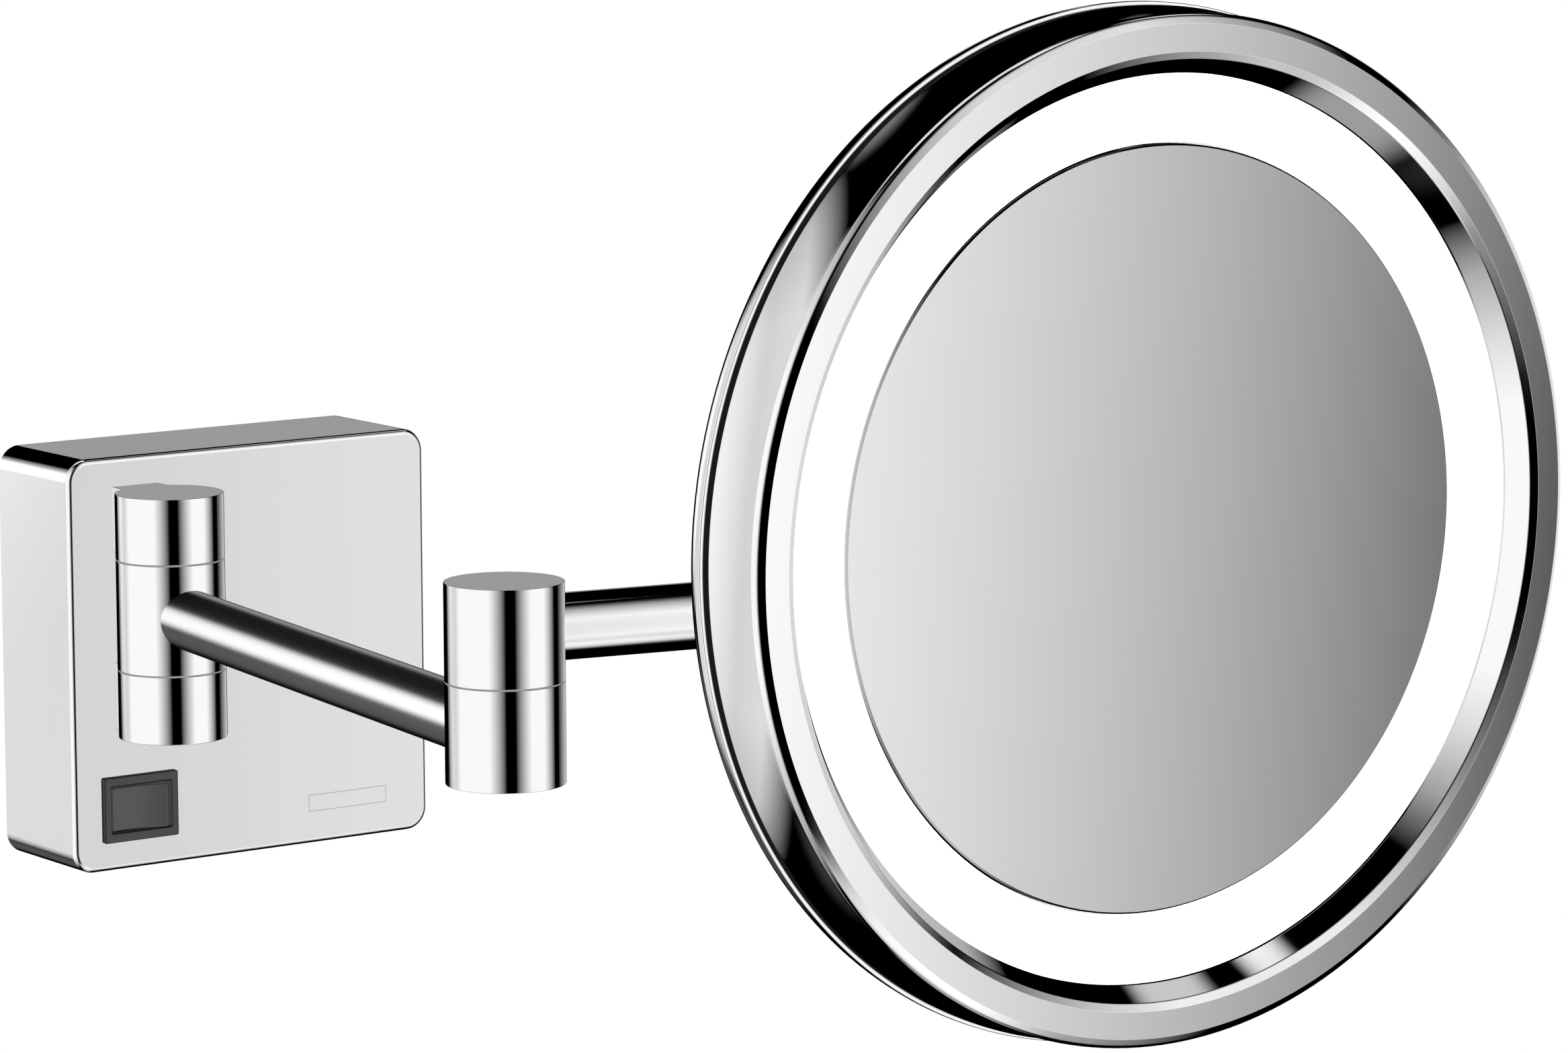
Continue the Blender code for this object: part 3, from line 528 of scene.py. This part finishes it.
def rounded_rect(width, height, corner, y, centre=(0, 0), steps=12):
    loop = []
    for quarter in range(4):
        sx = 1 if quarter in (0, 3) else -1
        sz = 1 if quarter in (0, 1) else -1
        for k in range(steps + 1):
            a = math.pi / 2 * (quarter + k / steps)
            x = sx * (width / 2 - corner) + corner * math.cos(a)
            z = sz * (height / 2 - corner) + corner * math.sin(a)
            loop.append((centre[0] + x, y, centre[1] + z))
    return loop


def lofted(name, loops, mat, body, nodes):
    count = len(loops[0])
    verts = [p for loop in loops for p in loop]
    faces = [tuple(range(count)), tuple(range(len(verts) - count, len(verts)))]
    for i in range(len(loops) - 1):
        faces += side_faces(i * count, count)
    return make_piece(name, verts, faces, mat, body, nodes)


def extruded(name, outline, place, low, high, mat, body, nodes, bevel):
    """Extrudes an (x, y) outline along its place's Z."""
    count = len(outline)
    verts = [place @ Vector((x, y, z)) for z in (low, high) for x, y in outline]
    faces = [tuple(range(count)), tuple(range(count, 2 * count)), *side_faces(0, count)]
    return make_piece(name, verts, faces, mat, body, nodes, bevel)


# Wall plate and hinge

def plate():
    low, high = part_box("plate_cover")
    size = high.x - low.x
    depth = high.y - low.y
    inner = size - 2 * PLATE_WALL
    corner = PLATE_CORNER - PLATE_WALL
    loops = [
        rounded_rect(inner, inner, corner, low.y + PLATE_WALL),
        rounded_rect(inner, inner, corner, high.y),
        rounded_rect(size - 2 * PLATE_BREAK, size - 2 * PLATE_BREAK, PLATE_CORNER, high.y),
        rounded_rect(size, size, PLATE_CORNER, high.y - PLATE_BREAK),
    ]
    steps = 10
    for k in range(steps + 1):
        a = math.pi / 2 * k / steps
        inset = PLATE_FILLET * (1 - math.cos(a))
        y = low.y + PLATE_FILLET * (1 - math.sin(a))
        loops.append(rounded_rect(size - 2 * inset, size - 2 * inset, PLATE_CORNER - inset, y))
    # The plate's forward face gets a painted shade as well as brush lines and a label frame
    mat = chrome("plate_chrome", face=plate_brush_label_and_painted_shade)
    obj = lofted("plate_shell", loops, mat, "wall_mount", ["plate_cover"])
    switch_low, switch_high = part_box("switch_body")
    centre = (switch_low + switch_high) / 2
    corner = SWITCH_CORNERS[1]
    ends = (low.y - 0.002, low.y + depth * 0.5)
    window = [rounded_rect(*SWITCH_WINDOW, corner, y, (centre.x, centre.z), 3) for y in ends]
    cut_opening(obj, "tool_switch_window", window)


def cut_opening(obj, name, loops):
    """Cuts a lofted opening, ahead of the piece's other modifiers."""
    count = len(loops[0])
    verts = [p for loop in loops for p in loop]
    faces = [tuple(range(count)), tuple(range(count, 2 * count)), *side_faces(0, count)]
    tool = closed_object(name, verts, faces)
    tool.hide_render = True
    tool.display_type = "WIRE"
    mod = obj.modifiers.new(name, "BOOLEAN")
    mod.operation = "DIFFERENCE"
    mod.solver = "EXACT"
    mod.object = tool
    obj.modifiers.move(len(obj.modifiers) - 1, 0)


def lug(name, node, mat):
    """A slice of the wall barrel, with a flat-sided link back to the plate."""
    low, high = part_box(node)
    axis = joint_place("wall_swivel")
    radius = (high.x - low.x) / 2
    reach = high.y - axis.y
    begin = math.acos(LINK_HALF / radius)
    sweep = math.pi + 2 * begin
    outline = [(LINK_HALF, reach), (-LINK_HALF, reach)]
    steps = 96
    for k in range(steps + 1):
        a = math.pi - begin + sweep * k / steps
        outline.append((radius * math.cos(a), radius * math.sin(a)))
    place = Matrix.Translation((axis.x, axis.y, 0))
    extruded(name, outline, place, low.z, high.z, mat, "wall_mount", [node], EDGE * 1.3)


def barrel(name, node, axis_place, mat, body, roof=0.0):
    """A turned barrel with a bore. One with a roof thickness is closed at the top."""
    low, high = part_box(node)
    radius = min(high.x - low.x, high.y - low.y) / 2
    outside = [(radius, low.z), (radius, high.z)]
    if roof:
        under = high.z - roof
        points = [(0, under), (BORE_R, under), (BORE_R, low.z)] + outside + [(0, high.z)]
        profile = soften(points, closed=False)
    else:
        profile = soften([(BORE_R, low.z)] + outside + [(BORE_R, high.z)])
    origin = Vector((axis_place.x, axis_place.y, 0))
    turned(name, profile, BARREL_SEGMENTS, origin, UP, mat, body, [node])


def arm(name, node, start, end, mat, body):
    """A tube between two barrels, which runs into both."""
    low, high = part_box(node)
    radius = (high.z - low.z) / 2
    height = (high.z + low.z) / 2
    start = Vector((start.x, start.y, height))
    run = Vector((end.x, end.y, height)) - start
    bore = radius - TUBE_WALL
    stop = run.length - TUBE_INSET
    points = [(bore, TUBE_INSET), (radius, TUBE_INSET), (radius, stop), (bore, stop)]
    turned(name, soften(points), TUBE_SEGMENTS, start, run.normalized(), mat, body, [node])


# Switch

def switch():
    low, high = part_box("switch_body")
    centre = ((low.x + high.x) / 2, (low.z + high.z) / 2)
    width = high.x - low.x
    height = high.z - low.z
    front = low.y
    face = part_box("plate_cover")[0].y
    edge = SWITCH_EDGE
    behind = face - edge
    flange_corner, body_corner, pocket_corner = SWITCH_CORNERS
    body = (width - SWITCH_BODY_INSET[0], height - SWITCH_BODY_INSET[1])
    pocket = (width - SWITCH_POCKET_INSET[0], height - SWITCH_POCKET_INSET[1])
    lip = SWITCH_POCKET_LIP
    sizes = [
        (*body, body_corner, high.y),
        (*body, body_corner, behind),
        (width, height, flange_corner, behind),
        (width, height, flange_corner, front + edge),
        (width - 0.3 * edge, height - 0.3 * edge, flange_corner, front + 0.3 * edge),
        (width - edge, height - edge, flange_corner, front),
        (width - 2 * edge, height - 2 * edge, flange_corner, front),
        (pocket[0] + 2 * edge, pocket[1] + 2 * edge, body_corner, front),
        (pocket[0] + lip, pocket[1] + lip, body_corner, front),
        (*pocket, pocket_corner, front + edge),
        (*pocket, pocket_corner, face + SWITCH_POCKET_DEPTH),
    ]
    loops = [rounded_rect(w, h, corner, y, centre, 4) for w, h, corner, y in sizes]
    # The frame's flanks get a painted shade, much darker than its front
    mat = moulded("switch_frame_plastic", (0.055, 0.055, 0.056), rough=0.34, side=0.004)
    lofted("switch_frame", loops, mat, "wall_mount", ["switch_body"])


def rocker():
    """The paddle: a shallow dished front, at rest with its right-hand end out."""
    pivot = joint_place("rocker_press")
    half, depth = PADDLE_HALF
    steps = 14
    outline = []
    for k in range(steps + 1):
        t = k / steps * 2 - 1
        outline.append((half * t, -PADDLE_CROWN + PADDLE_DISH * (1 - t * t)))
    keel, behind = PADDLE_KEEL
    outline += [(half, -PADDLE_SIDE), (keel, behind), (-keel, behind), (-half, -PADDLE_SIDE)]
    place = Matrix.Translation(pivot) @ Matrix.Rotation(-PADDLE_TILT, 4, "Z")
    mat = moulded("switch_paddle_plastic", (0.092, 0.092, 0.094), rough=0.30)
    nodes = ["switch_rocker"]
    extruded("switch_paddle", outline, place, -depth, depth, mat, "rocker", nodes, 0.0003)


# Head

def lip_place():
    """Centre of the light ring's lip, on the head's axis."""
    low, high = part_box("front_bezel")
    return Vector(((low.x + high.x) / 2, low.y + NOSE_DEPTH, (low.z + high.z) / 2))


def head_ring(name, node, profile, mat):
    """A turned piece round the head's axis."""
    turned(name, profile, RING_SEGMENTS, lip_place(), FORWARD, mat, "head", [node])


def bezel_back_radius():
    low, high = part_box("front_bezel")
    return (high.x - low.x) / 2


def bezel_ring():
    """The front ring: a cone down to the light, a flat face between two chamfers, and a flared side."""
    back = lip_place().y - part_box("front_bezel")[1].y
    back_radius = bezel_back_radius()
    radius = back_radius - FLARE_OUT
    flare = []
    for k in range(1, FLARE_STEPS):
        t = k / FLARE_STEPS
        run = (NOSE_DEPTH - FLARE_START) * (1 - t) + back * t
        flare.append((radius + (back_radius - radius) * t * t, run, 0))
    skin = NOSE_DEPTH - BEZEL_SKIN
    inside = radius - BEZEL_WALL
    profile = [
        (LIGHT_R, 0.0),
        (FACE_INNER - LIP_CHAMFER[0], NOSE_DEPTH - LIP_CHAMFER[1], LIP_R),
        (FACE_INNER, NOSE_DEPTH, SHARP),
        (radius - NOSE_CHAMFER[0], NOSE_DEPTH, SHARP),
        (radius, NOSE_DEPTH - NOSE_CHAMFER[1], NOSE_R),
        *flare,
        (back_radius, back, 0.0004),
        (back_radius - BEZEL_WALL, back),
        (inside, NOSE_DEPTH - BEZEL_STRAIGHT),
        (inside, skin - BEZEL_HAUNCH[1]),
        (inside - BEZEL_HAUNCH[0], skin),
        (FACE_INNER + CONE_WALL, skin),
        (LIGHT_R + LIP_WALL, -LIP_WALL),
        (LIGHT_R, -LIP_WALL),
    ]
    # The bezel's forward face gets a painted shade, and its chamfers that face right a painted glint
    mat = bezel_painted_glint(chrome("bezel_chrome", face=bezel_painted_shade(lip_place())))
    head_ring("bezel_ring", "front_bezel", soften(profile, steps=8), mat)


def back_shell():
    """The domed back, with a step that goes inside the bezel."""
    low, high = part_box("rear_shell")
    rear = lip_place().y - high.y
    outer = (high.x - low.x) / 2
    dome = DOME + [(outer - inside, height) for inside, height in DOME_RIM]
    profile = [(r, rear + h, 0) for r, h in smooth_run(dome)]
    spigot, spigot_front = SHELL_SPIGOT
    profile += [
        (outer, SHELL_FRONT, 0.00025),
        (spigot, SHELL_FRONT),
        (spigot, spigot_front),
        (spigot - SHELL_WALL, spigot_front),
        (spigot - SHELL_WALL, SHELL_FRONT - SHELL_STRAIGHT),
    ]
    profile += [(r, rear + h) for r, h in DOME_INSIDE]
    mat = chrome("shell_chrome", face=gap_shade(lip_place(), bezel_back_radius()))
    head_ring("back_shell", "rear_shell", soften(profile), mat)


def glass_box():
    """Radius and thickness of the glass."""
    low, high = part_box("mirror_glass")
    return (high.x - low.x) / 2, high.y - low.y


def light_ring():
    """The diffuser, with a flange behind the bezel's edge."""
    inner = glass_box()[0] + DIFFUSER_GAP[0]
    outer = LIGHT_R - DIFFUSER_GAP[1]
    flange, flange_front, flange_back = DIFFUSER_FLANGE
    profile = [
        (inner, -GLASS_DEPTH),
        (outer, -DIFFUSER_DIP),
        (outer, flange_front),
        (flange, flange_front),
        (flange, flange_back),
        (inner, DIFFUSER_BACK),
    ]
    profile = soften(profile, DIFFUSER_EDGE)
    head_ring("light_ring", "light_diffuser", profile, lit_acrylic())


def mirror_disc():
    radius, thick = glass_box()
    profile = [
        (0, -GLASS_DEPTH - thick),
        (radius, -GLASS_DEPTH - thick, 0.0003),
        (radius, -GLASS_DEPTH - GLASS_BREAK, 0.0001),
        (radius - GLASS_BREAK, -GLASS_DEPTH, 0.00008),
        (0, -GLASS_DEPTH),
    ]
    profile = soften(profile, closed=False)
    head_ring("mirror_disc", "mirror_glass", profile, silvered_glass_painted_shade(lip_place()))


# Pieces that keep the frame's shape

def kept_materials():
    """A finish for every slot of the nodes that are seen as they are."""
    return {
        "lead_sheath": moulded("lead_rubber", (0.62, 0.62, 0.61), rough=0.55, grain_scale=1800.0),
        "driver_case": moulded("driver_plastic", (0.72, 0.72, 0.73), rough=0.45),
        "steel": steel("turned_steel"),
        "nylon": moulded("washer_nylon", (0.50, 0.50, 0.50), rough=0.5),
        "black_nylon": moulded("black_washer_nylon", (0.02, 0.02, 0.02), rough=0.5),
        "terminal_brass": brass(),
        "foam": moulded("pad_foam", (0.03, 0.03, 0.03), rough=0.9, grain=0.0002, grain_scale=900.0),
        "carrier_plastic": moulded("carrier_white", (0.80, 0.80, 0.79), rough=0.5),
        "circuit_board": board(),
        "seal_rubber": moulded("seal_black", (0.015, 0.015, 0.016), rough=0.65),
        "chrome_joint": chrome("joint_chrome_cast"),
    }


def brass():
    mat, tree, shader = new_material("terminal_brass_strip", Metallic=1.0)
    lines = noise(tree, 700.0, 3.0, (1, 5, 1))
    colour = ramp(tree, lines, [(0.3, (0.62, 0.45, 0.20)), (0.7, (0.80, 0.62, 0.33))])
    tree.links.new(colour, shader.inputs["Base Color"])
    tree.links.new(spread(tree, lines, 0.3, 0.7, 0.2, 0.38), shader.inputs["Roughness"])
    return mat


def board():
    """White solder mask with faint copper tracks."""
    mat, tree, shader = new_material("board_mask", Roughness=0.35)
    place = add(tree, "ShaderNodeTexCoord").outputs["Object"]
    waves = {"Vector": place, "Scale": 160.0, "Distortion": 3.0, "Detail": 1.0}
    tracks = add(tree, "ShaderNodeTexWave", waves)
    colour = ramp(tree, tracks.outputs["Fac"], [(0.45, (0.80, 0.82, 0.80)), (0.55, (0.70, 0.74, 0.71))])
    tree.links.new(colour, shader.inputs["Base Color"])
    return mat


def paint_kept_nodes():
    finishes = kept_materials()
    slots = {part["node"]: part["material_slot"] for part in frame["record"]["subparts"]}
    for name, obj in frame["nodes"].items():
        if obj.hide_render:
            continue
        obj.data.materials.clear()
        obj.data.materials.append(finishes[slots[name]])
        obj.visible_glossy = False


# Studio

def world():
    scene = bpy.context.scene
    scene.world = bpy.data.worlds.new("studio")
    scene.world.use_nodes = True
    tree = scene.world.node_tree
    tree.nodes.clear()
    direction = add(tree, "ShaderNodeTexCoord").outputs["Generated"]
    parts = add(tree, "ShaderNodeSeparateXYZ", {"Vector": direction})
    ahead = calc(tree, "MULTIPLY", parts.outputs["Y"], -1.0)
    bearing = calc(tree, "DEGREES", calc(tree, "ARCTAN2", parts.outputs["X"], ahead))
    height = calc(tree, "DEGREES", calc(tree, "ARCSINE", parts.outputs["Z"]))
    turn = spread(tree, bearing, -180, 180, 0, 1)
    rise = spread(tree, calc(tree, "ABSOLUTE", height), 0, 90, 0, 1)
    light = 0.0
    for around, upward in ((STUDIO_ROUND, STUDIO_HEIGHT), (STRIP_ROUND, STRIP_HEIGHT)):
        round_light = ramp(tree, turn, [((a + 180) / 360, v) for a, v in around])
        falloff = ramp(tree, rise, [(a / 90, v) for a, v in upward])
        light = calc(tree, "MULTIPLY_ADD", round_light, falloff, light)
    for centre, inner, outer, bright in ROUND_BOXES:
        near = dot(tree, direction, centre.normalized())
        edge = (math.cos(math.radians(outer)), math.cos(math.radians(inner)))
        light = calc(tree, "ADD", light, spread(tree, near, *edge, 0.0, bright, smooth=True))
    lit = add(tree, "ShaderNodeBackground", {"Color": light, "Strength": 1.0})
    plain = add(tree, "ShaderNodeBackground", {"Color": (1, 1, 1, 1), "Strength": 1.0})
    seen = add(tree, "ShaderNodeLightPath").outputs["Is Camera Ray"]
    both = add(tree, "ShaderNodeMixShader", {0: seen, 1: lit.outputs[0], 2: plain.outputs[0]})
    add(tree, "ShaderNodeOutputWorld", {"Surface": both.outputs[0]})


def floor():
    """A wide pale floor well below the mirror."""
    bm = bmesh.new()
    bmesh.ops.create_grid(bm, x_segments=8, y_segments=8, size=FLOOR_HALF)
    mesh = bpy.data.meshes.new("studio_floor")
    bm.to_mesh(mesh)
    bm.free()
    obj = bpy.data.objects.new("studio_floor", mesh)
    bpy.context.scene.collection.objects.link(obj)
    obj.location.z = FLOOR_Z
    obj.visible_glossy = False
    mat, tree, shader = new_material("floor_paper", Roughness=0.9)
    tone = noise(tree, 2.0, 2.0)
    tree.links.new(ramp(tree, tone, [(0.3, 0.20), (0.7, 0.21)]), shader.inputs["Base Color"])
    shader.inputs["Emission Color"].default_value = (1, 1, 1, 1)
    shader.inputs["Emission Strength"].default_value = FLOOR_GLOW
    mesh.materials.append(mat)


def camera():
    data = bpy.data.cameras.new("photo_camera")
    data.lens = CAMERA_LENS
    data.sensor_width = 36.0
    data.clip_start = 0.05
    data.clip_end = 100.0
    obj = bpy.data.objects.new("photo_camera", data)
    bpy.context.scene.collection.objects.link(obj)
    level = Vector((math.cos(CAMERA_AZIMUTH), -math.sin(CAMERA_AZIMUTH), 0))
    ahead = Vector((math.sin(CAMERA_AZIMUTH), math.cos(CAMERA_AZIMUTH), 0)) * math.cos(CAMERA_ELEVATION)
    ahead.z = -math.sin(CAMERA_ELEVATION)
    top = level.cross(ahead)
    right = level * math.cos(CAMERA_ROLL) - top * math.sin(CAMERA_ROLL)
    top = right.cross(ahead)
    turn = Matrix((right, top, -ahead)).transposed().to_4x4()
    obj.matrix_world = Matrix.Translation(CAMERA_AIM - ahead * CAMERA_DISTANCE) @ turn
    bpy.context.scene.camera = obj


def build():
    camera()
    world()
    floor()
    joint_chrome = chrome("joint_chrome")
    tube_chrome = chrome("tube_chrome")
    satin_chrome = chrome("inner_tube_chrome", rough=0.22, vary=0.02)
    wall = joint_place("wall_swivel")
    elbow = joint_place("elbow_swivel")
    neck = joint_place("head_swivel")
    plate()
    lug("wall_lug_upper", "hinge_lug_upper", joint_chrome)
    lug("wall_lug_lower", "hinge_lug_lower", joint_chrome)
    barrel("inner_arm_barrel", "inner_arm_hub", wall, joint_chrome, "inner_arm")
    barrel("elbow_lower_barrel", "elbow_lower_hub", elbow, joint_chrome, "inner_arm")
    barrel("elbow_upper_barrel", "elbow_upper_hub", elbow, joint_chrome, "outer_arm", ROOF)
    barrel("neck_lower_barrel", "neck_lower_hub", neck, joint_chrome, "outer_arm")
    barrel("neck_upper_barrel", "neck_upper_hub", neck, joint_chrome, "neck", ROOF)
    arm("inner_arm_rod", "inner_arm_tube", wall, elbow, satin_chrome, "inner_arm")
    arm("outer_arm_rod", "outer_arm_tube", elbow, neck, tube_chrome, "outer_arm")
    switch()
    rocker()
    bezel_ring()
    back_shell()
    light_ring()
    mirror_disc()
    paint_kept_nodes()
    bpy.context.scene.view_settings.view_transform = "Standard"


build()
